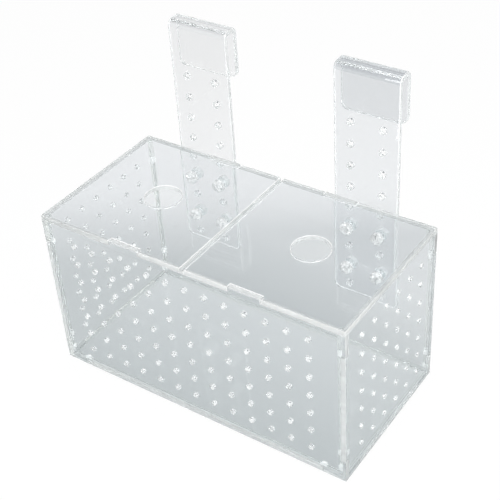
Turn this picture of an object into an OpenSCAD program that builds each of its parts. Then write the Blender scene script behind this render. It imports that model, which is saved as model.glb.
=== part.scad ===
// Hang-in fish breeding box: a laser-cut acrylic box with water holes, two loose lid halves
// and two bent hangers that hook over the rim of a tank. The origin is at the middle of the
// underside of the base, the front faces -Y and the hangers stand at the rear, towards +Y.

/* [Box] */
// Length of the box, from side to side
box_l = 200; // [160:5:320]
// Depth of the box, from front to rear
box_w = 100; // [80:5:160]
// Height of the closed box, from the underside of the base to the top of the lids
box_h = 108; // [100:1:140]
// Thickness of the acrylic sheet that every flat piece is cut from
sheet = 3; // [2:0.5:4]
// Plain length at both ends of a glued edge, before its tab begins
shoulder = 15; // [8:1:20]

/* [Water holes] */
// Diameter of a water hole
vent_d = 3; // [2:0.5:4]
// Spacing of the water holes, along and up
vent_pitch = 13; // [9:0.5:20]
// Least distance from a wall's end to the middle of a water hole
vent_end = 16; // [12:1:20]
// Least distance from the top or bottom of the box to the middle of a water hole
vent_edge = 14; // [12:1:20]

/* [Lid halves] */
// Gap between the two lid halves
lid_seam = 2.4; // [0.5:0.1:4]
// Diameter of a finger hole
finger_d = 22; // [18:1:30]
// Middle of a finger hole, from the middle of the box
finger_x = 50; // [40:1:60]
// Length of a wall tab that keeps a lid half in place
lid_tab_l = 20; // [10:1:30]
// Middle of a wall tab, from the middle of the box
lid_tab_x = 40; // [25:1:55]
// Clearance of a lid half round the wall tabs and in front of the hangers
lid_clear = 0.3; // [0.2:0.05:0.5]

/* [Hangers] */
// Width of a hanger
hanger_w = 40; // [32:1:50]
// Middle of a hanger, from the end of the box
hanger_end = 45; // [40:1:60]
// Height of a hanger's lower end above the underside of the base
hanger_low = 40; // [30:1:45]
// Height of the top of a hanger above the underside of the base
hanger_high = 192; // [185:1:230]
// Room between a hanger and its lip, for the rim of the tank
rim_gap = 6; // [5:0.5:12]
// Height of the lip, from its lower end to the top of the hanger
lip_h = 32; // [20:1:40]
// Inner radius of the two hot bends
bend_r = 1; // [0.5:0.5:2]
// Radius of the lower corners of a hanger and of its lip
corner_r = 4; // [2:0.5:6]

/* [Height holes] */
// Rows of height holes in a hanger
row_n = 9; // [6:1:9]
// Spacing of the rows of height holes
row_pitch = 14; // [10:0.5:15]
// Middle of the lowest row above the hanger's lower end
row_first = 6; // [5:0.5:10]
// Spacing of the two columns of height holes
col_pitch = 20; // [14:1:24]
// Row that holds the lower screws, counted from 0 at the bottom
lower_row = 1; // [0:1:1]
// Row that holds the upper screws, counted from 0 at the bottom
upper_row = 3; // [2:1:3]

/* [Screws and nuts] */
// Diameter of a screw's shank
screw_d = 4; // [3:0.5:4.5]
// Clearance all round a shank in its holes and in its nut
screw_clear = 0.1; // [0.05:0.05:0.2]
// Diameter of a screw's head
head_d = 8; // [7:0.5:9]
// Height of a screw's head
head_h = 3.1; // [2.5:0.1:3.5]
// Width of the slot across a screw's head
slot_w = 1.2; // [0.8:0.1:1.5]
// Depth of the slot across a screw's head
slot_deep = 1.4; // [0.8:0.1:1.6]
// Width of a nut across its flats
nut_af = 7; // [6:0.5:8]
// Thickness of a nut
nut_h = 3.2; // [2.5:0.1:4]
// Length of shank that stands out of a nut
tip_out = 1.8; // [0.5:0.1:2.5]

/* [Hidden] */
wall_h = box_h - sheet;
tab_l = box_l - 2 * shoulder;
tab_w = box_w - 2 * shoulder;
tab_h = wall_h - 2 * shoulder;
lid_l = (box_l - lid_seam) / 2;
rear_y = box_w / 2;
hanger_x = box_l / 2 - hanger_end;
hook_deep = rim_gap + 2 * sheet;
outer_r = bend_r + sheet;
hole_d = screw_d + 2 * screw_clear;
screw_rows = [lower_row, upper_row];
shank_l = 2 * sheet + nut_h + tip_out;
tip_cut = screw_d / 8;
dome = head_h / 2;
nut_cut = nut_h / 8;
nut_corner_r = nut_af / 2 / cos(30);
eps = 0.5;
acrylic = [0.86, 0.91, 0.92, 0.45];
lid_tint = [0.80, 0.88, 0.90, 0.45];
hanger_tint = [0.90, 0.93, 0.94, 0.45];
clear_white = [0.95, 0.97, 0.98, 0.8];

// How many holes fit on a length, at the spacing of the water holes
function vents_on(length, margin) = floor((length - 2 * margin) / vent_pitch) + 1;

// The height of a row of height holes above the underside of the base
function row_z(row) = hanger_low + row_first + row * row_pitch;

// A flat rectangle, centred across and standing on its lower edge at a given height
module sheet_area(across, low, high) {
    translate([-across / 2, low]) square([across, high - low]);
}

// The grid of water holes of a wall, centred on its width and on the box's height
module vents(across) {
    cols = vents_on(across, vent_end);
    rows = vents_on(box_h, vent_edge);
    translate([-(cols - 1) / 2 * vent_pitch, (box_h - (rows - 1) * vent_pitch) / 2])
        for (col = [0 : cols - 1], row = [0 : rows - 1])
            translate([col, row] * vent_pitch) circle(d = vent_d, $fn = 24);
}

// Outline of the front or rear wall: the side walls' tabs take the middle of its ends, the
// base's tab takes its lower edge, and one tab for each lid half stands on its top
module long_wall_area() {
    difference() {
        sheet_area(box_l, 0, wall_h);
        sheet_area(tab_l, -eps, sheet);
        for (side = [-1, 1])
            translate([side * box_l / 2, 0]) sheet_area(2 * sheet, shoulder, shoulder + tab_h);
    }
    for (side = [-1, 1])
        translate([side * lid_tab_x, 0]) sheet_area(lid_tab_l, wall_h - eps, box_h);
}

// Outline of a side wall: a long tab at each end and a notch for the base's tab below
module short_wall_area() {
    difference() {
        union() {
            sheet_area(box_w - 2 * sheet, 0, wall_h);
            sheet_area(box_w, shoulder, shoulder + tab_h);
        }
        sheet_area(tab_w, -eps, sheet);
    }
}

// Height holes of a hanger, two to a row, seen from the front
module at_height_holes(rows) {
    for (row = rows, side = [-1, 1])
        translate([side * col_pitch / 2, row_z(row)]) circle(d = hole_d, $fn = 32);
}

// Stands a flat outline up, its front face on the given plane
module stand(front_y) {
    translate([0, front_y + sheet, 0]) rotate([90, 0, 0]) linear_extrude(sheet) children();
}

module base_panel() {
    color(acrylic) linear_extrude(sheet) {
        square([tab_l, box_w], center = true);
        square([box_l, tab_w], center = true);
        square([box_l, box_w] - 2 * [sheet, sheet], center = true);
    }
}

module front_wall() {
    color(acrylic) stand(-box_w / 2) difference() {
        long_wall_area();
        vents(box_l);
    }
}

module rear_wall() {
    color(acrylic) stand(rear_y - sheet) difference() {
        long_wall_area();
        for (side = [-1, 1])
            translate([side * hanger_x, 0]) at_height_holes(screw_rows);
    }
}

module side_wall() {
    color(acrylic) rotate(90) stand(-box_l / 2) difference() {
        short_wall_area();
        vents(box_w);
    }
}

module right_wall() {
    side_wall();
}

module left_wall() {
    mirror([1, 0, 0]) side_wall();
}

// The right lid half lies on the walls, and its notches go round the walls' tabs
module lid_half() {
    notch_l = lid_tab_l + 2 * lid_clear;
    notch_w = 2 * (sheet + lid_clear);
    color(lid_tint) translate([0, 0, wall_h]) linear_extrude(sheet) difference() {
        translate([lid_seam / 2, -box_w / 2]) square([lid_l, box_w - lid_clear]);
        for (side = [-1, 1])
            translate([lid_tab_x, side * box_w / 2]) square([notch_l, notch_w], center = true);
        translate([finger_x, 0]) circle(d = finger_d, $fn = 64);
    }
}

module lid_right() {
    lid_half();
}

module lid_left() {
    mirror([1, 0, 0]) lid_half();
}

// One hot bend of a hanger: a quarter of a ring round the origin, towards +X and +Y
module bend_area() {
    intersection() {
        difference() {
            circle(r = outer_r, $fn = 64);
            circle(r = bend_r, $fn = 32);
        }
        square(outer_r);
    }
}

// Side view of a hanger, depth along X and height along Y
module hook_area() {
    square_top = hanger_high - outer_r;
    translate([0, hanger_low]) square([sheet, square_top - hanger_low]);
    translate([hook_deep - sheet, hanger_high - lip_h]) square([sheet, lip_h - outer_r]);
    translate([outer_r, hanger_high - sheet]) square([hook_deep - 2 * outer_r, sheet]);
    translate([hook_deep - outer_r, square_top]) bend_area();
    translate([outer_r, square_top]) mirror([1, 0]) bend_area();
}

// What rounds the two lower corners of a strip that ends at the given height
module corner_cuts(low) {
    for (side = [-1, 1])
        translate([side * (hanger_w / 2 - corner_r), low + corner_r]) difference() {
            translate([side > 0 ? 0 : -corner_r - eps, -corner_r - eps]) square(corner_r + eps);
            circle(r = corner_r, $fn = 48);
        }
}

module hanger() {
    color(hanger_tint) difference() {
        translate([-hanger_w / 2, rear_y, 0]) rotate([90, 0, 90]) linear_extrude(hanger_w) hook_area();
        translate([0, rear_y - eps, 0]) mirror([0, 1, 0]) rotate([90, 0, 0]) linear_extrude(sheet + 2 * eps) {
            corner_cuts(hanger_low);
            at_height_holes([0 : row_n - 1]);
        }
        translate([0, rear_y + hook_deep - sheet - eps, 0]) mirror([0, 1, 0]) rotate([90, 0, 0])
            linear_extrude(sheet + 2 * eps) corner_cuts(hanger_high - lip_h);
    }
}

module hanger_right() {
    translate([hanger_x, 0, 0]) hanger();
}

module hanger_left() {
    translate([-hanger_x, 0, 0]) hanger();
}

// Puts a fastener at one hole of a hanger: side and column are -1 or 1, seen from the front
module at_hole(side, column, row) {
    translate([side * hanger_x + column * col_pitch / 2, rear_y - sheet, row_z(row)])
        rotate([-90, 0, 0]) children();
}

// A slotted cheese-head screw along +Z, its head's flat underside at the origin
module screw() {
    color(clear_white) difference() {
        rotate_extrude($fn = 48) {
            polygon([[0, -head_h], [head_d / 2 - dome, -head_h], [head_d / 2, -head_h + dome],
                [head_d / 2, 0], [0, 0]]);
            polygon([[0, -eps], [screw_d / 2, -eps], [screw_d / 2, shank_l - tip_cut],
                [screw_d / 2 - tip_cut, shank_l], [0, shank_l]]);
        }
        translate([-head_d, -slot_w / 2, -head_h - eps]) cube([2 * head_d, slot_w, slot_deep + eps]);
    }
}

// A hexagon nut along +Z on the back of a hanger, its outer corners turned off
module nut() {
    color(clear_white) translate([0, 0, 2 * sheet]) difference() {
        intersection() {
            cylinder(r = nut_corner_r, h = nut_h, $fn = 6);
            rotate_extrude($fn = 48)
                polygon([[0, 0], [nut_corner_r, 0], [nut_corner_r, nut_h - nut_cut],
                    [nut_corner_r - 2 * nut_cut, nut_h], [0, nut_h]]);
        }
        translate([0, 0, -eps]) cylinder(d = hole_d, h = nut_h + 2 * eps, $fn = 32);
    }
}

base_panel();
front_wall();
rear_wall();
left_wall();
right_wall();
lid_left();
lid_right();
hanger_left();
hanger_right();
at_hole(-1, -1, lower_row) screw();  // screw_left_lower_outer
at_hole(-1, 1, lower_row) screw();  // screw_left_lower_inner
at_hole(-1, -1, upper_row) screw();  // screw_left_upper_outer
at_hole(-1, 1, upper_row) screw();  // screw_left_upper_inner
at_hole(1, -1, lower_row) screw();  // screw_right_lower_inner
at_hole(1, 1, lower_row) screw();  // screw_right_lower_outer
at_hole(1, -1, upper_row) screw();  // screw_right_upper_inner
at_hole(1, 1, upper_row) screw();  // screw_right_upper_outer
at_hole(-1, -1, lower_row) nut();  // nut_left_lower_outer
at_hole(-1, 1, lower_row) nut();  // nut_left_lower_inner
at_hole(-1, -1, upper_row) nut();  // nut_left_upper_outer
at_hole(-1, 1, upper_row) nut();  // nut_left_upper_inner
at_hole(1, -1, lower_row) nut();  // nut_right_lower_inner
at_hole(1, 1, lower_row) nut();  // nut_right_lower_outer
at_hole(1, -1, upper_row) nut();  // nut_right_upper_inner
at_hole(1, 1, upper_row) nut();  // nut_right_upper_outer
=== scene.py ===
# Hang-in fish breeding box: laser-cut clear acrylic sheets cemented at their finger joints, two loose
# lid halves and two hot-bent hangers. Shapes are modelled in millimetres, then scaled to metres.
import math

import bmesh
import bpy
from mathutils import Matrix, Vector, noise


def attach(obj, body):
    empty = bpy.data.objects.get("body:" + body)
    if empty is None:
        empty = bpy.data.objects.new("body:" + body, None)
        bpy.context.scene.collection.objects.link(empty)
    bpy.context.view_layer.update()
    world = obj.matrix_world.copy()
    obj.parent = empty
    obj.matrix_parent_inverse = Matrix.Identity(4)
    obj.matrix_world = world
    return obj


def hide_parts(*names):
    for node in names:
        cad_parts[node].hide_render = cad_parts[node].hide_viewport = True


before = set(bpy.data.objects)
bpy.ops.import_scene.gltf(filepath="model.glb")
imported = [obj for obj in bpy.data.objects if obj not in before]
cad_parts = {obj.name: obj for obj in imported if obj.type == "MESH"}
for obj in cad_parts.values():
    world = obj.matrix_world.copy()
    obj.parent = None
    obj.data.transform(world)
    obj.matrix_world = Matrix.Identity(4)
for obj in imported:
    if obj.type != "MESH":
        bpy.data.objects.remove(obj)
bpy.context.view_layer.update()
mm = 0.001
sideSigns = {"left": -1, "right": 1}

# Camera at the photograph's place: millimetres, degrees, and the focal length in pixels of the frame
camera = {"place": (304.6, -399.8, 466.1), "azimuth": 36.443, "elevation": 37.029, "roll": -4.060,
          "focal": 1108.7, "frame": 500, "sensor": 36, "nearest": 10}


def makeCamera():
    azimuth, elevation, roll = (math.radians(camera[key]) for key in ("azimuth", "elevation", "roll"))
    back = Vector((math.sin(azimuth) * math.cos(elevation), -math.cos(azimuth) * math.cos(elevation),
                   math.sin(elevation)))
    level = Vector((math.cos(azimuth), math.sin(azimuth), 0))
    upright = back.cross(level)
    right = level * math.cos(roll) + upright * math.sin(roll)
    up = upright * math.cos(roll) - level * math.sin(roll)
    data = bpy.data.cameras.new("photo_camera")
    data.sensor_width = camera["sensor"]
    data.lens = camera["sensor"] * camera["focal"] / camera["frame"]
    data.clip_start = camera["nearest"] * mm
    piece = bpy.data.objects.new("photo_camera", data)
    turned = Matrix((right, up, back)).transposed().to_4x4()
    piece.matrix_world = Matrix.Translation(Vector(camera["place"]) * mm) @ turned
    bpy.context.scene.collection.objects.link(piece)
    bpy.context.scene.camera = piece


makeCamera()
print("camera ready")


def toLinear(colour):
    parts = [int(colour[k:k + 2], 16) / 255 for k in (1, 3, 5)]
    return [p / 12.92 if p <= 0.04045 else ((p + 0.055) / 1.055) ** 2.4 for p in parts] + [1]


def addNode(tree, kind, settings=None, inputs=None, links=None):
    node = tree.nodes.new(kind)
    for name, value in (settings or {}).items():
        setattr(node, name, value)
    for name, value in (inputs or {}).items():
        node.inputs[name].default_value = value
    for name, source in (links or {}).items():
        tree.links.new(source, node.inputs[name])
    return node


def newMaterial(name):
    material = bpy.data.materials.new(name)
    material.use_nodes = True
    material.node_tree.nodes.clear()
    return material, material.node_tree


# Clear plastic throws hardly any shadow: light goes straight through it and takes on a slight tint
def finishClear(tree, shader, shadowTint):
    path = addNode(tree, "ShaderNodeLightPath")
    lit = addNode(tree, "ShaderNodeMath", {"operation": "MAXIMUM"}, links={
        0: path.outputs["Is Shadow Ray"], 1: path.outputs["Is Diffuse Ray"]})
    passing = addNode(tree, "ShaderNodeBsdfTransparent", inputs={"Color": toLinear(shadowTint)})
    both = addNode(tree, "ShaderNodeMixShader", links={
        0: lit.outputs[0], 1: shader.outputs[0], 2: passing.outputs[0]})
    addNode(tree, "ShaderNodeOutputMaterial", links={"Surface": both.outputs[0]})


# Cast acrylic sheet, polished by its mould: clear and almost colourless. Waves 36 mm long bend what is seen
# through it a little, and smears of wiping 11 mm across take a little off its shine.
acrylic = {"ior": 1.49, "shadowTint": "#FBFCFC", "waves": 28.0, "waveDetail": 1.0, "waveDepth": 0.002,
           "smears": 90.0, "smearDetail": 4.0, "smearRoughness": 0.7, "smearFrom": 0.45, "smearTo": 0.75}


def castAcrylic(name, tint, wavy=0.0, hazy=0.0):
    material, tree = newMaterial(name)
    place = addNode(tree, "ShaderNodeTexCoord")
    waves = addNode(tree, "ShaderNodeTexNoise", inputs={
        "Scale": acrylic["waves"], "Detail": acrylic["waveDetail"]},
        links={"Vector": place.outputs["Object"]})
    bump = addNode(tree, "ShaderNodeBump", inputs={"Strength": wavy, "Distance": acrylic["waveDepth"]},
                   links={"Height": waves.outputs[0]})
    wiped = addNode(tree, "ShaderNodeTexNoise", inputs={
        "Scale": acrylic["smears"], "Detail": acrylic["smearDetail"], "Roughness": acrylic["smearRoughness"]},
        links={"Vector": place.outputs["Object"]})
    haze = addNode(tree, "ShaderNodeMapRange", inputs={
        "From Min": acrylic["smearFrom"], "From Max": acrylic["smearTo"], "To Min": 0.0, "To Max": hazy},
        links={"Value": wiped.outputs[0]})
    shader = addNode(tree, "ShaderNodeBsdfPrincipled", inputs={
        "Base Color": toLinear(tint), "IOR": acrylic["ior"], "Transmission Weight": 1.0},
        links={"Roughness": haze.outputs[0], "Normal": bump.outputs[0]})
    finishClear(tree, shader, acrylic["shadowTint"])
    return material


# Laser-cut edges of cast acrylic: satin and half clear, with a light frosting that comes and goes. clearest
# and whitest say how much of the light passes where the frosting is thin and thick, and patch how many of its
# patches a metre holds. The thin eased corners shine white. In a cemented joint the solvent has cleared the
# cut again, and on the left wall it has dried in small white patches.
cutStyles = {
    "wall": {"tint": "#EAEBEB", "clearest": 0.62, "whitest": 0.46, "patch": 50.0, "roughness": 0.12,
             "lines": 0.03},
    "lid": {"tint": "#F3F3F2", "clearest": 0.6, "whitest": 0.34, "patch": 24.0, "roughness": 0.12,
            "lines": 0.03},
    "satin": {"tint": "#F4F5F5", "clearest": 0.62, "whitest": 0.5, "patch": 60.0, "roughness": 0.1,
              "lines": 0.02},
    "eased": {"tint": "#FDFDFD", "clearest": 0.3, "whitest": 0.1, "patch": 60.0, "roughness": 0.12,
              "lines": 0.03},
    "hole": {"tint": "#FCFDFD", "clearest": 0.9, "whitest": 0.3, "patch": 300.0, "roughness": 0.08,
             "lines": 0.15},
    "joint": {"tint": "#F0F1F1", "clearest": 0.72, "whitest": 0.55, "patch": 90.0, "roughness": 0.1,
              "lines": 0.03},
    "frosted": {"tint": "#FAFAF8", "clearest": 0.7, "whitest": 0.15, "patch": 420.0, "roughness": 0.1,
                "lines": 0.2},
}
# The beam leaves faint lines through the sheet's thickness. Real ones are too fine for the render, so they
# are drawn about 0.6 mm apart and stretched along the beam.
laser = {"lines": 1800.0, "lineDetail": 2.0, "lineDepth": 0.0002, "stretch": 0.02,
         "patchDetail": 3.0, "patchRoughness": 0.6, "patchFrom": 0.4, "patchTo": 0.6}


# The finish of a cut edge, made once for each style and each axis that the beam ran along
def laserCutEdge(style, across):
    name = "laser_cut_%s_%s" % (style, across)
    made = bpy.data.materials.get(name)
    if made:
        return made
    look = cutStyles[style]
    material, tree = newMaterial(name)
    place = addNode(tree, "ShaderNodeTexCoord")
    scale = [1.0, 1.0, 1.0]
    scale["xyz".index(across)] = laser["stretch"]
    drawn = addNode(tree, "ShaderNodeMapping", inputs={"Scale": scale},
                    links={"Vector": place.outputs["Object"]})
    lines = addNode(tree, "ShaderNodeTexNoise", inputs={
        "Scale": laser["lines"], "Detail": laser["lineDetail"]}, links={"Vector": drawn.outputs[0]})
    bump = addNode(tree, "ShaderNodeBump", inputs={
        "Strength": look["lines"], "Distance": laser["lineDepth"]}, links={"Height": lines.outputs[0]})
    patches = addNode(tree, "ShaderNodeTexNoise", inputs={
        "Scale": look["patch"], "Detail": laser["patchDetail"], "Roughness": laser["patchRoughness"]},
        links={"Vector": place.outputs["Object"]})
    clear = addNode(tree, "ShaderNodeMapRange", inputs={
        "From Min": laser["patchFrom"], "From Max": laser["patchTo"], "To Min": look["whitest"],
        "To Max": look["clearest"]}, links={"Value": patches.outputs[0]})
    shader = addNode(tree, "ShaderNodeBsdfPrincipled", inputs={
        "Base Color": toLinear(look["tint"]), "Roughness": look["roughness"], "IOR": acrylic["ior"]},
        links={"Normal": bump.outputs[0], "Transmission Weight": clear.outputs[0]})
    finishClear(tree, shader, look["tint"])
    return material


# Dried acrylic cement: it grips both sheets, so it bends light little, and it is faintly milky with ripples
# 6 mm long. The drops left at the ends of the tabs have dried white.
cementStyles = {
    "bead": {"name": "acrylic_cement", "tint": "#FAFBFA", "clearest": 0.95, "whitest": 0.75, "ior": 1.3,
             "rippled": 0.2},
    "thinBead": {"name": "acrylic_cement_thin", "tint": "#F9FAF9", "clearest": 1.0, "whitest": 0.95,
                 "ior": 1.12, "rippled": 0.05},
    "drop": {"name": "acrylic_cement_drop", "tint": "#FDFEFE", "clearest": 0.3, "whitest": 0.0, "ior": 1.3,
             "rippled": 0.4},
}
dried = {"roughness": 0.05, "ripples": 160.0, "rippleDetail": 2.0, "rippleDepth": 0.0005,
         "milkFrom": 0.35, "milkTo": 0.65}


def driedCement(style):
    look = cementStyles[style]
    material, tree = newMaterial(look["name"])
    place = addNode(tree, "ShaderNodeTexCoord")
    ripples = addNode(tree, "ShaderNodeTexNoise", inputs={
        "Scale": dried["ripples"], "Detail": dried["rippleDetail"]},
        links={"Vector": place.outputs["Object"]})
    bump = addNode(tree, "ShaderNodeBump", inputs={
        "Strength": look["rippled"], "Distance": dried["rippleDepth"]}, links={"Height": ripples.outputs[0]})
    milk = addNode(tree, "ShaderNodeMapRange", inputs={
        "From Min": dried["milkFrom"], "From Max": dried["milkTo"], "To Min": look["clearest"],
        "To Max": look["whitest"]}, links={"Value": ripples.outputs[0]})
    shader = addNode(tree, "ShaderNodeBsdfPrincipled", inputs={
        "Base Color": toLinear(look["tint"]), "Roughness": dried["roughness"], "IOR": look["ior"]},
        links={"Normal": bump.outputs[0], "Transmission Weight": milk.outputs[0]})
    finishClear(tree, shader, look["tint"])
    return material


# Moulded polycarbonate: clear, but so full of small bright reflections that it reads as near white with a
# hard gloss. Its near-white colour is painted light that stands in for those reflections, and the shader has
# no transmission. In the screws, recess and thread split the light into facets finer than the render can
# draw, so they are drawn as flat cells about 1 mm across.
moulded = {"tint": "#FEFEFE", "roughness": 0.06, "ior": 1.585, "gloss": 1.0, "coat": 1.0, "coatIor": 2.0,
           "coatRoughness": 0.05, "cells": 1200.0, "middle": 0.5, "facets": {"screw": 1.4, "nut": 0.2}}


def mouldedPaintedWhite(kind):
    material, tree = newMaterial("moulded_polycarbonate_painted_white_" + kind)
    place = addNode(tree, "ShaderNodeTexCoord")
    cells = addNode(tree, "ShaderNodeTexVoronoi", inputs={"Scale": moulded["cells"]},
                    links={"Vector": place.outputs["Object"]})
    middle = addNode(tree, "ShaderNodeVectorMath", {"operation": "SUBTRACT"}, {1: (moulded["middle"],) * 3},
                     {0: cells.outputs["Color"]})
    surface = addNode(tree, "ShaderNodeNewGeometry")
    tilted = addNode(tree, "ShaderNodeVectorMath", {"operation": "MULTIPLY_ADD"},
                     {1: (moulded["facets"][kind],) * 3},
                     {0: middle.outputs[0], 2: surface.outputs["Normal"]})
    facet = addNode(tree, "ShaderNodeVectorMath", {"operation": "NORMALIZE"}, links={0: tilted.outputs[0]})
    shader = addNode(tree, "ShaderNodeBsdfPrincipled", inputs={
        "Base Color": toLinear(moulded["tint"]), "Roughness": moulded["roughness"], "IOR": moulded["ior"],
        "Specular IOR Level": moulded["gloss"], "Coat Weight": moulded["coat"],
        "Coat IOR": moulded["coatIor"], "Coat Roughness": moulded["coatRoughness"]},
        links={"Normal": facet.outputs[0], "Coat Normal": facet.outputs[0]})
    finishClear(tree, shader, moulded["tint"])
    return material


polished = castAcrylic("cast_acrylic_sheet", "#FAFBFC", wavy=0.05, hazy=0.03)
cement = {style: driedCement(style) for style in cementStyles}
fasteners = {kind: mouldedPaintedWhite(kind) for kind in moulded["facets"]}
print("finishes ready")


def toMesh(shape, name="work"):
    mesh = bpy.data.meshes.new(name)
    shape.to_mesh(mesh)
    shape.free()
    return mesh


def combine(mesh, tool, operation="DIFFERENCE"):
    piece, other = (bpy.data.objects.new("work", data) for data in (mesh, tool))
    for item in (piece, other):
        bpy.context.scene.collection.objects.link(item)
    trim = piece.modifiers.new("trim", "BOOLEAN")
    trim.operation, trim.solver, trim.object = operation, "EXACT", other
    bpy.context.view_layer.update()
    graph = bpy.context.evaluated_depsgraph_get()
    result = bpy.data.meshes.new_from_object(piece.evaluated_get(graph))
    for item in (piece, other):
        bpy.data.objects.remove(item)
    return result


def onlyVerts(geometry):
    return [item for item in geometry if isinstance(item, bmesh.types.BMVert)]


# Pulls a flat shape up into a solid
def pullUp(shape, height):
    grown = bmesh.ops.extrude_face_region(shape, geom=shape.faces[:])["geom"]
    bmesh.ops.translate(shape, verts=onlyVerts(grown), vec=(0, 0, height))


def faceOutwards(shape):
    bmesh.ops.recalc_face_normals(shape, faces=shape.faces[:])


# Takes the corner off every edge that turns by more than the limit, in degrees
def easeEdges(shape, width, limit=30):
    sharp = [edge for edge in shape.edges
             if len(edge.link_faces) == 2 and edge.calc_face_angle(0) > math.radians(limit)]
    bmesh.ops.bevel(shape, geom=sharp, offset=width, segments=1, profile=0.5, affect="EDGES", material=-1,
                    clamp_overlap=True)


# Turned form: a profile of (radius, height) spun round Z
def turnedShape(profile, segments):
    sameSpot = 0.0005
    shape = bmesh.new()
    line = [shape.verts.new((radius, 0, height)) for radius, height in profile]
    edges = [shape.edges.new(pair) for pair in zip(line, line[1:])]
    bmesh.ops.spin(shape, geom=line + edges, cent=(0, 0, 0), axis=(0, 0, 1), angle=math.tau,
                   steps=segments, use_merge=True)
    bmesh.ops.remove_doubles(shape, verts=shape.verts[:], dist=sameSpot)
    faceOutwards(shape)
    return shape


# Solid sheet from a flat outline in XY, its lower face at z = 0, drawn in by the laser's kerf
def sheetShape(outline, thickness, kerf, ease):
    shape = bmesh.new()
    face = shape.faces.new([shape.verts.new((x, y, 0)) for x, y in outline])
    rim = bmesh.ops.inset_region(shape, faces=[face], thickness=kerf, use_even_offset=True)["faces"]
    bmesh.ops.delete(shape, geom=rim, context="FACES")
    pullUp(shape, thickness)
    faceOutwards(shape)
    easeEdges(shape, ease)
    return shape


# Cutters for round holes through a sheet, flared where they leave it and standing out on both sides
def holeTools(holes, thickness, ease, segments):
    tools, over = bmesh.new(), 0.5
    for x, y, radius in holes:
        flare = radius + ease + over
        one = toMesh(turnedShape([(0, -over), (flare, -over), (radius, ease), (radius, thickness - ease),
                                  (flare, thickness + over), (0, thickness + over)], segments))
        one.transform(Matrix.Translation((x, y, 0)))
        tools.from_mesh(one)
        bpy.data.meshes.remove(one)
    return toMesh(tools)


# Faces over 60 mm2 are flat and keep their own normal, so that a bend beside them doesn't tilt it. Edges that
# turn by more than 30 degrees stay sharp.
shading = {"flatArea": 60, "sharpAngle": 30}


# Sorts a drawn shape's faces by finish, puts it in its place and sets what is smooth
def placePiece(name, mesh, turn, finishes, sort, body, nodes):
    mesh.name = name
    mesh.materials.clear()
    for finish in finishes:
        mesh.materials.append(finish)
    for face in mesh.polygons:
        face.material_index = sort(face) if sort else 0
        face.use_smooth = face.area < shading["flatArea"]
    mesh.transform(Matrix.Scale(mm, 4) @ turn)
    mesh.set_sharp_from_angle(angle=math.radians(shading["sharpAngle"]))
    piece = bpy.data.objects.new(name, mesh)
    bpy.context.scene.collection.objects.link(piece)
    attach(piece, body)
    if nodes:
        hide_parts(*nodes)
    return piece


# Where a sheet's finishes change: millimetres from its rim, its front edge and its holes, and how far up a
# face looks, from 0 for a side to 1 for a broad face
sheetFaces = {"rim": 0.3, "frontRim": 0.5, "holeRim": 1, "broad": 0.98, "eased": 0.3}


# Finishes of a sheet drawn flat: 0 polished, 1 a bare cut edge, 2 the edge of a hole, 3 an edge in a joint or
# at the seam, 4 an eased corner that shines. reach holds the sheet's lowest and highest x and y, where its
# edges show on the outside of the box. The lids' lower front corner is left clear: it is a dark line over the
# wall.
def sheetFinish(face, holes, loose, reach):
    x, y, tilt = face.center.x, face.center.y, face.normal.z
    bare = min(x - reach[0], reach[1] - x, y - reach[2], reach[3] - y) < sheetFaces["rim"]
    frontCorner = y < reach[2] + sheetFaces["frontRim"] and tilt < -sheetFaces["eased"]
    if abs(tilt) > sheetFaces["broad"] or loose and frontCorner:
        return 0
    if loose and abs(tilt) > sheetFaces["eased"] and not bare:
        return 4
    if any(math.hypot(x - a, y - b) < radius + sheetFaces["holeRim"] for a, b, radius in holes):
        return 2
    return 1 if bare else 3


# Sizes that the flat sheets share
sheet = {"length": 200, "depth": 100, "wall": 105, "height": 108, "thickness": 3, "shoulder": 15,
         "kerf": 0.05, "tabLength": 20, "tabMiddle": 40}
vents = {"radius": 1.5, "pitch": 13, "columns": 13, "sideColumns": 6, "rows": 7, "segments": 16, "ease": 0.22}
heightHoles = {"radius": 2.1, "rows": 9, "pitch": 14, "first": 46, "columns": 20, "segments": 24,
               "ease": 0.15, "screwRows": (1, 3), "middle": 55}

standFront = Matrix(((1, 0, 0, 0), (0, 0, -1, 0), (0, 1, 0, 0), (0, 0, 0, 1)))   # drawn in x and z
standSide = Matrix(((0, 0, 1, 0), (1, 0, 0, 0), (0, 1, 0, 0), (0, 0, 0, 1)))     # drawn in y and z


def mirrored(points):
    return points + [(-x, y) for x, y in reversed(points)]


def longWallOutline():
    half, t, s = sheet["length"] / 2, sheet["thickness"], sheet["shoulder"]
    wall, top = sheet["wall"], sheet["height"]
    near, far = (sheet["tabMiddle"] + k * sheet["tabLength"] / 2 for k in (-1, 1))
    return mirrored([(half - s, t), (half - s, 0), (half, 0), (half, s), (half - t, s), (half - t, wall - s),
                     (half, wall - s), (half, wall), (far, wall), (far, top), (near, top), (near, wall)])


def shortWallOutline():
    half, t, s = sheet["depth"] / 2, sheet["thickness"], sheet["shoulder"]
    wall = sheet["wall"]
    return mirrored([(half - s, t), (half - s, 0), (half - t, 0), (half - t, s), (half, s), (half, wall - s),
                     (half - t, wall - s), (half - t, wall)])


def baseOutline():
    x, y, t, s = sheet["length"] / 2, sheet["depth"] / 2, sheet["thickness"], sheet["shoulder"]
    corner = [(x, y - s), (x - t, y - s), (x - t, y - t), (x - s, y - t), (x - s, y)]
    upper = mirrored(corner)
    return upper + [(-px, -py) for px, py in upper]


def ventHoles(columns):
    low = sheet["height"] / 2 - (vents["rows"] - 1) / 2 * vents["pitch"]
    return [((col - (columns - 1) / 2) * vents["pitch"], low + row * vents["pitch"], vents["radius"])
            for col in range(columns) for row in range(vents["rows"])]


def screwHoles():
    return [(side * heightHoles["middle"] + column * heightHoles["columns"] / 2,
             heightHoles["first"] + row * heightHoles["pitch"], heightHoles["radius"])
            for side in (-1, 1) for column in (-1, 1) for row in heightHoles["screwRows"]]


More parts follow.
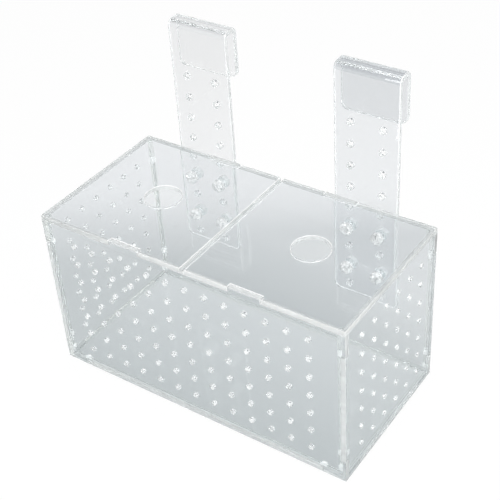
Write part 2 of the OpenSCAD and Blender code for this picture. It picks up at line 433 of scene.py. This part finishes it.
def makeSheet(name, outline, turn, edge, node, holes=(), style=vents, body="box",
              styles=("wall", "hole", "joint")):
    mesh = toMesh(sheetShape(outline, sheet["thickness"], sheet["kerf"], style["ease"]))
    if holes:
        mesh = combine(mesh, holeTools(holes, sheet["thickness"], style["ease"], style["segments"]))
    xs, ys = ([point[k] for point in outline] for k in (0, 1))
    widest = max(abs(x) for x in xs)
    reach = (-widest, widest, min(ys), min(max(ys), sheet["wall"]))
    return placePiece(name, mesh, turn, [polished] + [laserCutEdge(kind, edge) for kind in styles],
                      lambda face: sheetFinish(face, holes, body != "box", reach), body, [node])


def makeWalls():
    halfX, halfY, t = sheet["length"] / 2, sheet["depth"] / 2, sheet["thickness"]
    makeSheet("front_wall_sheet", longWallOutline(), Matrix.Translation((0, t - halfY, 0)) @ standFront, "y",
              "front_wall", ventHoles(vents["columns"]))
    makeSheet("rear_wall_sheet", longWallOutline(), Matrix.Translation((0, halfY, 0)) @ standFront, "y",
              "rear_wall", screwHoles(), heightHoles)
    makeSheet("right_wall_sheet", shortWallOutline(), Matrix.Translation((halfX - t, 0, 0)) @ standSide, "x",
              "right_wall", ventHoles(vents["sideColumns"]))
    makeSheet("left_wall_sheet", shortWallOutline(), Matrix.Translation((-halfX, 0, 0)) @ standSide, "x",
              "left_wall", ventHoles(vents["sideColumns"]), styles=("wall", "hole", "frosted"))
    makeSheet("base_sheet", baseOutline(), Matrix.Identity(4), "z", "base_panel")


makeWalls()
print("walls and base ready")

# Cement along the inner corners. gap is how far a bead stands off the sheets, wobble how far it swells and
# wave how fast it does so along its length. seed sets the beads apart.
bead = {"radius": 2.4, "gap": 0.04, "steps": 6, "pieceLength": 4.0, "wobble": 0.12, "wave": 0.06, "seed": 4.0,
        "drop": 1.2, "dropAt": 0.9, "dropOut": 0.25, "dropLength": 1.6, "dropHeights": (8.5, 18.5, 90)}


# Bead of cement along an inner corner, drawn up Z with its back in the corner, and drops at the tabs' ends
def beadMesh(length, drops, seed):
    r, gap = bead["radius"], bead["gap"]
    shape = bmesh.new()
    corner, start = shape.verts.new((gap, gap, 0)), shape.verts.new((r, gap, 0))
    curve = bmesh.ops.spin(shape, geom=[start], cent=(r, r, 0), axis=(0, 0, 1), angle=-math.pi / 2,
                           steps=bead["steps"])
    last = onlyVerts(curve["geom_last"])[0]
    for pair in ((corner, start), (last, corner)):
        shape.edges.new(pair)
    bmesh.ops.contextual_create(shape, geom=shape.edges[:])
    for vert in shape.verts:
        vert.co.x, vert.co.y = max(vert.co.x, gap), max(vert.co.y, gap)
    pullUp(shape, length)
    upright = [edge for edge in shape.edges if abs(edge.verts[0].co.z - edge.verts[1].co.z) > length / 2]
    bmesh.ops.subdivide_edges(shape, edges=upright, cuts=int(length / bead["pieceLength"]),
                              use_grid_fill=True)
    for vert in shape.verts:
        x, y, z = vert.co
        swell = 1 + bead["wobble"] * noise.noise(Vector((0, 0, z * bead["wave"] + seed * bead["seed"])))
        vert.co.x, vert.co.y = gap + (x - gap) * swell, gap + (y - gap) * swell
    middle = bead["dropAt"] + bead["drop"] * bead["dropOut"]
    for height in drops:
        made = bmesh.ops.create_icosphere(shape, subdivisions=2, radius=bead["drop"])["verts"]
        bmesh.ops.scale(shape, verts=made, vec=(1, 1, bead["dropLength"]))
        bmesh.ops.translate(shape, verts=made, vec=(middle, middle, height))
        for vert in made:
            vert.co.x, vert.co.y = max(vert.co.x, gap), max(vert.co.y, gap)
    faceOutwards(shape)
    return toMesh(shape)


# A turn can mirror the bead, so its faces are turned outwards again once it is in place
def placeBead(name, length, drops, seed, turn, finish):
    def inDrop(face):
        return int(any(abs(face.center.z - height) < bead["drop"] * bead["dropLength"] for height in drops))

    piece = placePiece(name, beadMesh(length, drops, seed), turn, [finish, cement["drop"]], inDrop, "box",
                       [])
    shape = bmesh.new()
    shape.from_mesh(piece.data)
    faceOutwards(shape)
    shape.to_mesh(piece.data)
    shape.free()


def makeBeads():
    t, s = sheet["thickness"], sheet["shoulder"]
    x, y = sheet["length"] / 2 - t, sheet["depth"] / 2 - t
    low, short = t + bead["radius"], 2 * bead["radius"]
    tall = sheet["wall"] - low
    drops = [height - low for height in bead["dropHeights"]]
    for seed, (sx, sy) in enumerate(((-1, -1), (1, -1), (-1, 1), (1, 1))):
        turn = Matrix(((-sx, 0, 0, sx * x), (0, -sy, 0, sy * y), (0, 0, 1, low), (0, 0, 0, 1)))
        name = "cement_bead_%s_%s" % ("front" if sy < 0 else "rear", "left" if sx < 0 else "right")
        placeBead(name, tall, drops, seed, turn, cement["bead"])
    for seed, name, sign in ((4, "base_front", -1), (5, "base_rear", 1)):
        ends = (s - low, 2 * x - s - low + 2 * t) if sign < 0 else ()
        turn = Matrix(((0, 0, 1, bead["radius"] - x), (-sign, 0, 0, sign * y), (0, 1, 0, t), (0, 0, 0, 1)))
        placeBead("cement_bead_" + name, 2 * x - short, ends, seed, turn, cement["thinBead"])
    for seed, name, sign in ((6, "base_left", -1), (7, "base_right", 1)):
        turn = Matrix(((-sign, 0, 0, sign * x), (0, 0, 1, bead["radius"] - y), (0, 1, 0, t), (0, 0, 0, 1)))
        placeBead("cement_bead_" + name, 2 * y - short, (), seed, turn, cement["thinBead"])


makeBeads()
print("cement beads ready")

lid = {"seam": 2.4, "clear": 0.3, "fingerRadius": 11, "fingerMiddle": 50, "segments": 64, "ease": 0.3}


def lidOutline():
    inner, outer = lid["seam"] / 2, sheet["length"] / 2
    front, rear = -sheet["depth"] / 2, sheet["depth"] / 2 - lid["clear"]
    near, far = (sheet["tabMiddle"] + k * (sheet["tabLength"] / 2 + lid["clear"]) for k in (-1, 1))
    deep = sheet["depth"] / 2 - sheet["thickness"] - lid["clear"]
    return [(inner, front), (near, front), (near, -deep), (far, -deep), (far, front), (outer, front),
            (outer, rear), (far, rear), (far, deep), (near, deep), (near, rear), (inner, rear)]


def makeLids():
    for name, sign in sideSigns.items():
        outline = [(sign * x, y) for x, y in lidOutline()][::sign]
        makeSheet("lid_half_" + name, outline, Matrix.Translation((0, 0, sheet["wall"])), "z", "lid_" + name,
                  [(sign * lid["fingerMiddle"], 0, lid["fingerRadius"])], lid, name + "_lid",
                  ("lid", "satin", "satin", "eased"))


makeLids()
print("lid halves ready")

hanger = {"width": 40, "low": 40, "high": 192, "gap": 6, "lip": 32, "bend": 1, "bendSteps": 10, "corner": 4,
          "cornerSteps": 6, "ease": 0.45, "easeLimit": 40, "apart": 0.06}
# The left hook stands against bright white and the right one looks greyer, so each has its own tints: the
# left one's are painted light and the right one's painted shade. The darker fold tints are painted shade for
# the dark stripes that the bends reflect.
hangerPaintedTints = {"left": {"strip": "#FEFEFE", "fold": "#F6F7F8", "lip": "#FFFFFF"},
               "right": {"strip": "#F9FAFB", "fold": "#DFE2E5", "lip": "#F0F1F2"}}
# Where a hanger's finishes change: millimetres of fold below the top and of rim round a hole, and how far a
# face looks along an axis, from 0 to 1
hangerFaces = {"fold": 6, "holeRim": 0.5, "along": 0.95, "slight": 0.3, "hardly": 0.05}


# Side view of a hanger with two quarter bends, drawn with y as x and z as y, then pulled up to its width
def hangerShape():
    t, near = sheet["thickness"], 0.01
    outer = hanger["bend"] + t
    deep, top = hanger["gap"] + 2 * t - hanger["apart"], hanger["high"] - outer
    lip = hanger["high"] - hanger["lip"]
    shape = bmesh.new()

    def quarter(start, middle):
        vert = shape.verts.new((*start, 0))
        made = bmesh.ops.spin(shape, geom=[vert], cent=(*middle, 0), axis=(0, 0, 1), angle=-math.pi / 2,
                              steps=hanger["bendSteps"])
        return vert, onlyVerts(made["geom_last"])[0]

    foot = [shape.verts.new((x, hanger["low"], 0)) for x in (t, 0)]
    outerFront = quarter((0, top), (outer, top))
    outerRear = quarter((deep - outer, hanger["high"]), (deep - outer, top))
    tip = [shape.verts.new((x, lip, 0)) for x in (deep, deep - t)]
    innerRear = quarter((deep - outer, top + hanger["bend"]), (deep - outer, top))
    innerFront = quarter((t, top), (outer, top))
    for line in ((*foot, outerFront[0]), (outerFront[1], outerRear[0]), (outerRear[1], *tip, innerRear[1]),
                 (innerRear[0], innerFront[1]), (innerFront[0], foot[0])):
        for pair in zip(line, line[1:]):
            shape.edges.new(pair)
    bmesh.ops.contextual_create(shape, geom=shape.edges[:])
    pullUp(shape, hanger["width"])
    faceOutwards(shape)
    corners = []
    for edge in shape.edges:
        a, b = (vert.co for vert in edge.verts)
        through = abs(a.x - b.x) > t - near and abs(a.y - b.y) < near and abs(a.z - b.z) < near
        if through and edge.calc_face_angle(0) > 1 and a.y < lip + near:
            corners.append(edge)
    bmesh.ops.bevel(shape, geom=corners, offset=hanger["corner"], segments=hanger["cornerSteps"], profile=0.5,
                    affect="EDGES", material=-1)
    easeEdges(shape, hanger["ease"], hanger["easeLimit"])
    return shape


# 0 polished on both broad faces, 1 cut along the sides and round the lip, 2 in the holes, 3 on the lower end
# and the eased corners, 4 polished round the bends, where the eye looks through more of the sheet, with a
# darker tint that is painted shade, 5 on the lip, where it looks through the lip and the strip, with a tint
# that is painted light on the left hook and painted shade on the right
def hangerFinish(face):
    x, y, z = (abs(part) for part in face.normal)
    onLip = face.center.x > hanger["gap"]
    if face.center.y > hanger["high"] - hangerFaces["fold"] and z < hangerFaces["slight"]:
        return 4
    if x > hangerFaces["along"]:
        return 5 if onLip else 0
    pitch = heightHoles["pitch"]
    up = (face.center.y - heightHoles["first"] + pitch / 2) % pitch - pitch / 2
    across = abs(face.center.z - hanger["width"] / 2) - heightHoles["columns"] / 2
    if math.hypot(across, up) < heightHoles["radius"] + hangerFaces["holeRim"]:
        return 2
    side = z > hangerFaces["along"] or x < hangerFaces["hardly"] and y <= hangerFaces["along"]
    return 1 if onLip or side else 3


def makeHangers():
    half, t = hanger["width"] / 2, sheet["thickness"]
    holes = [(heightHoles["first"] + row * heightHoles["pitch"], half + column * heightHoles["columns"] / 2,
              heightHoles["radius"]) for row in range(heightHoles["rows"]) for column in (-1, 1)]
    for name, sign in sideSigns.items():
        tools = holeTools(holes, t, heightHoles["ease"], heightHoles["segments"])
        tools.transform(standSide)
        mesh = combine(toMesh(hangerShape()), tools)
        corner = (sign * heightHoles["middle"] - half, sheet["depth"] / 2 + hanger["apart"], 0)
        # Three tints of the same acrylic for each hook: painted light and painted shade, not different
        # plastics
        strip, fold, lip = (castAcrylic("bent_acrylic_%s_%s" % (part, name), tint)
                            for part, tint in hangerPaintedTints[name].items())
        cuts = [laserCutEdge(style, "y") for style in ("satin", "hole", "eased")]
        placePiece("hanger_strip_" + name, mesh, Matrix.Translation(corner) @ standSide,
                   [strip] + cuts + [fold, lip], hangerFinish, "box",
                   ["hanger_" + name])


makeHangers()
print("hangers ready")

# round is the head's shoulder: steps inwards from its rim and down from its top, in shares of the dome
screw = {"radius": 2, "root": 1.65, "pitch": 0.7, "start": 0.1, "length": 11, "point": 0.5, "head": 4,
         "headHeight": 3.1, "dome": 1.2, "round": ((1, 0), (0.45, 0.25), (0.12, 0.7), (0, 1.4)), "rim": 0.2,
         "slot": 1.2, "slotDepth": 1.4, "segments": 32}
nut = {"flats": 7, "thickness": 3.2, "chamfer": 0.4, "bore": 2.1, "boreEase": 0.2, "segments": 32}
# A screw or nut stands off its sheet by a small gap. No two screws were tightened to the same angle: degrees
# for each column, row and side.
fastening = {"gap": 0.05, "columnTurn": 37, "rowTurn": 71, "sideTurn": 23}


# Drawn along +Z, the head's underside at 0
def screwMesh():
    height, thread = screw["start"], [(screw["radius"], screw["start"])]
    while height + screw["pitch"] < screw["length"] - screw["point"]:
        thread += [(screw["root"], height + screw["pitch"] / 2), (screw["radius"], height + screw["pitch"])]
        height += screw["pitch"]
    head, tall, dome, rim = screw["head"], screw["headHeight"], screw["dome"], screw["rim"]
    top = [(0, -tall)] + [(head - inwards * dome, down * dome - tall) for inwards, down in screw["round"]]
    under = [(head, -rim), (head - rim, 0.0), (screw["radius"], 0.0)]
    end = [(screw["root"], screw["length"]), (0, screw["length"])]
    mesh = toMesh(turnedShape(top + under + thread + end, screw["segments"]))
    slot = bmesh.new()
    bmesh.ops.create_cube(slot, size=1)
    bmesh.ops.scale(slot, verts=slot.verts[:], vec=(3 * head, screw["slot"], 2 * screw["slotDepth"]))
    bmesh.ops.translate(slot, verts=slot.verts[:], vec=(0, 0, -tall))
    return combine(mesh, toMesh(slot))


# Drawn along +Z, its front face at 0: a hexagon whose corners are turned off, with a plain bore
def nutMesh():
    shape = bmesh.new()
    corner = nut["flats"] / 2 / math.cos(math.pi / 6)
    bmesh.ops.create_circle(shape, segments=6, radius=corner, cap_ends=True)
    pullUp(shape, nut["thickness"])
    faceOutwards(shape)
    tall, chamfer = nut["thickness"], nut["chamfer"]
    turned = turnedShape([(0, 0), (corner - chamfer, 0), (corner, chamfer), (corner, tall - chamfer),
                          (corner - 2 * chamfer, tall), (0, tall)], nut["segments"])
    mesh = combine(toMesh(shape), toMesh(turned), "INTERSECT")
    return combine(mesh, holeTools([(0, 0, nut["bore"])], tall, nut["boreEase"], nut["segments"]))


def makeFasteners():
    t, gap, rear = sheet["thickness"], fastening["gap"], sheet["depth"] / 2
    screwForm, nutForm = screwMesh(), nutMesh()
    lay = Matrix.Rotation(-math.pi / 2, 4, "X")
    places = [(side, sign, level, row, column) for side, sign in sideSigns.items()
              for level, row in zip(("lower", "upper"), heightHoles["screwRows"]) for column in (-1, 1)]
    for side, sign, level, row, column in places:
        end = "_%s_%s_%s" % (side, level, "outer" if column == sign else "inner")
        x = sign * heightHoles["middle"] + column * heightHoles["columns"] / 2
        z = heightHoles["first"] + row * heightHoles["pitch"]
        degrees = (fastening["columnTurn"] * column + fastening["rowTurn"] * row
                   + fastening["sideTurn"] * sign)
        spin = Matrix.Rotation(math.radians(degrees), 4, "Z")
        for kind, form, y, own in (("screw", screwForm, rear - t - gap, spin),
                                   ("nut", nutForm, rear + t + 2 * gap, Matrix.Identity(4))):
            placePiece("%s_clear%s" % (kind, end), form.copy(), Matrix.Translation((x, y, z)) @ lay @ own,
                       [fasteners[kind]], None, "box", [kind + end])


makeFasteners()
print("screws and nuts ready")

# Studio: white paper, one soft lamp overhead and two in front, and a white sweep that fades to a dim ceiling.
# The paper is white where the camera sees it. In the clear sheets it shows painted shade: grey for the box's
# shadow and for light falling off towards the camera. It also shows painted light, paler, in three places:
# far off along away (near to far), close behind the box (behind) and under the base towards the rear (under).
studio = {"floorSize": 12.0, "floorDrop": 0.0006, "floorGlow": 0.9, "glassGlow": 0.3,
          "floorFar": "#F6F7F8", "floorPaintedShade": "#B2B9BA", "near": 0.08, "far": 0.2, "away": (-0.484, 0.875, 0),
          "behindFrom": 0.055, "behindTo": 0.115, "behindPaintedLight": 0.45,
          "underAlong": (-0.15, 1, 0), "underFrom": -0.045, "underTo": 0.05, "underPaintedLight": 0.6,
          "baseHalf": (0.1, 0.05, 1.0), "baseEdgeFrom": 0.97, "baseEdgeTo": 1.03,
          "lighting": 0.36, "sweepTop": 0.49, "ceilingFrom": 0.65, "ceiling": "#8E9397"}
lamps = {
    "overhead": {"place": (-0.2, 0.3, 1.6), "size": 1.2, "power": 10.0},
    "key": {"place": (1.1, -0.5, 0.7), "size": 0.4, "power": 10.5},
    "front": {"place": (-0.25, -1.2, 0.5), "size": 0.5, "power": 6.5},
}
lampAim = (0, 0, 0.06)
white = (1, 1, 1, 1)


# The paper's painted shade in the clear sheets: 0 where it is darkest, 1 where its painted light is palest
def paintedPaperShade(tree):
    place = addNode(tree, "ShaderNodeTexCoord")
    away = addNode(tree, "ShaderNodeVectorMath", {"operation": "DOT_PRODUCT"}, {1: studio["away"]},
                   {0: place.outputs["Object"]})
    rear = addNode(tree, "ShaderNodeMapRange", {"interpolation_type": "SMOOTHSTEP"}, inputs={
        "From Min": studio["near"], "From Max": studio["far"]}, links={"Value": away.outputs["Value"]})
    spot = addNode(tree, "ShaderNodeSeparateXYZ", links={0: place.outputs["Object"]})
    behind = addNode(tree, "ShaderNodeMapRange", inputs={
        "From Min": studio["behindFrom"], "From Max": studio["behindTo"], "To Max": studio["behindPaintedLight"]},
        links={"Value": spot.outputs[1]})
    along = addNode(tree, "ShaderNodeVectorMath", {"operation": "DOT_PRODUCT"}, {1: studio["underAlong"]},
                    {0: place.outputs["Object"]})
    under = addNode(tree, "ShaderNodeMapRange", inputs={
        "From Min": studio["underFrom"], "From Max": studio["underTo"], "To Max": studio["underPaintedLight"]},
        links={"Value": along.outputs["Value"]})
    halves = addNode(tree, "ShaderNodeVectorMath", {"operation": "ABSOLUTE"}, links={
        0: place.outputs["Object"]})
    share = addNode(tree, "ShaderNodeVectorMath", {"operation": "DIVIDE"}, {1: studio["baseHalf"]},
                    {0: halves.outputs[0]})
    sides = addNode(tree, "ShaderNodeSeparateXYZ", links={0: share.outputs[0]})
    outermost = addNode(tree, "ShaderNodeMath", {"operation": "MAXIMUM"}, links={
        0: sides.outputs[0], 1: sides.outputs[1]})
    beneath = addNode(tree, "ShaderNodeMapRange", inputs={
        "From Min": studio["baseEdgeFrom"], "From Max": studio["baseEdgeTo"], "To Min": 1.0, "To Max": 0.0},
        links={"Value": outermost.outputs[0]})
    gathered = addNode(tree, "ShaderNodeMath", {"operation": "MULTIPLY"}, links={
        0: under.outputs[0], 1: beneath.outputs[0]})
    beyond = addNode(tree, "ShaderNodeMath", {"operation": "MAXIMUM"}, links={
        0: rear.outputs[0], 1: behind.outputs[0]})
    return addNode(tree, "ShaderNodeMath", {"operation": "MAXIMUM"}, links={
        0: beyond.outputs[0], 1: gathered.outputs[0]})


# Matt white paper that glows fully for the camera and a little in the clear sheets
def makePaper():
    material, tree = newMaterial("matt_white_paper")
    path = addNode(tree, "ShaderNodeLightPath")
    inGlass = addNode(tree, "ShaderNodeMath", {"operation": "ADD", "use_clamp": True}, links={
        0: path.outputs["Is Glossy Ray"], 1: path.outputs["Is Transmission Ray"]})
    direct = addNode(tree, "ShaderNodeMath", {"operation": "MULTIPLY"}, {1: studio["floorGlow"]},
                     {0: path.outputs["Is Camera Ray"]})
    glow = addNode(tree, "ShaderNodeMath", {"operation": "MULTIPLY_ADD"}, {1: studio["glassGlow"]},
                   {0: inGlass.outputs[0], 2: direct.outputs[0]})
    # Painted shade and painted light on the paper, which every ray but the camera's sees
    shade = addNode(tree, "ShaderNodeMix", {"data_type": "RGBA"}, {
        6: toLinear(studio["floorPaintedShade"]), 7: toLinear(studio["floorFar"])},
        {0: paintedPaperShade(tree).outputs[0]})
    pale = addNode(tree, "ShaderNodeMix", {"data_type": "RGBA"}, {7: white}, {
        0: path.outputs["Is Camera Ray"], 6: shade.outputs[2]})
    paper = addNode(tree, "ShaderNodeBsdfDiffuse", links={"Color": pale.outputs[2]})
    glowing = addNode(tree, "ShaderNodeEmission", inputs={"Color": white, "Strength": 1.0})
    both = addNode(tree, "ShaderNodeMixShader", links={
        0: glow.outputs[0], 1: paper.outputs[0], 2: glowing.outputs[0]})
    addNode(tree, "ShaderNodeOutputMaterial", links={"Surface": both.outputs[0]})
    return material


def makeFloor():
    shape = bmesh.new()
    bmesh.ops.create_grid(shape, x_segments=1, y_segments=1, size=studio["floorSize"] / 2)
    bmesh.ops.translate(shape, verts=shape.verts[:], vec=(0, 0, -studio["floorDrop"]))
    mesh = toMesh(shape, "studio_floor")
    mesh.materials.append(makePaper())
    floor = bpy.data.objects.new("studio_floor", mesh)
    bpy.context.scene.collection.objects.link(floor)


# The world lights the object evenly. To the camera, in reflections and through the clear sheets it shows as
# the sweep and the ceiling.
def makeWorld():
    world = bpy.data.worlds.new("studio")
    bpy.context.scene.world = world
    world.use_nodes = True
    tree = world.node_tree
    tree.nodes.clear()
    place = addNode(tree, "ShaderNodeTexCoord")
    split = addNode(tree, "ShaderNodeSeparateXYZ", links={0: place.outputs["Generated"]})
    rise = addNode(tree, "ShaderNodeMapRange", {"interpolation_type": "SMOOTHSTEP"}, inputs={
        "From Min": studio["sweepTop"], "From Max": studio["ceilingFrom"]}, links={"Value": split.outputs[2]})
    blend = addNode(tree, "ShaderNodeMix", {"data_type": "RGBA"}, {6: white, 7: toLinear(studio["ceiling"])},
                    {0: rise.outputs[0]})
    backdrop = addNode(tree, "ShaderNodeBackground", inputs={"Strength": 1.0}, links={
        "Color": blend.outputs[2]})
    light = addNode(tree, "ShaderNodeBackground", inputs={"Color": white, "Strength": studio["lighting"]})
    path = addNode(tree, "ShaderNodeLightPath")
    total = addNode(tree, "ShaderNodeMath", {"operation": "ADD"}, links={
        0: path.outputs["Is Camera Ray"], 1: path.outputs["Is Glossy Ray"]})
    seen = addNode(tree, "ShaderNodeMath", {"operation": "ADD", "use_clamp": True}, links={
        0: total.outputs[0], 1: path.outputs["Is Transmission Ray"]})
    mixed = addNode(tree, "ShaderNodeMixShader", links={
        0: seen.outputs[0], 1: light.outputs[0], 2: backdrop.outputs[0]})
    addNode(tree, "ShaderNodeOutputWorld", links={"Surface": mixed.outputs[0]})


def makeLamps():
    for name, lamp in lamps.items():
        data = bpy.data.lights.new("lamp_" + name, "AREA")
        data.shape, data.size, data.energy = "SQUARE", lamp["size"], lamp["power"]
        piece = bpy.data.objects.new("lamp_" + name, data)
        place = Vector(lamp["place"])
        aimed = (place - Vector(lampAim)).to_track_quat("Z", "Y").to_matrix().to_4x4()
        piece.matrix_world = Matrix.Translation(place) @ aimed
        bpy.context.scene.collection.objects.link(piece)


makeFloor()
makeWorld()
makeLamps()
bpy.context.scene.view_settings.view_transform = "Standard"
# Light crosses many faces of clear sheet one after another, so each kind of ray may bounce often
rays = bpy.context.scene.cycles
rays.transparent_max_bounces = 32
rays.max_bounces = 40
rays.transmission_bounces = 40
rays.glossy_bounces = 40
print("studio ready")
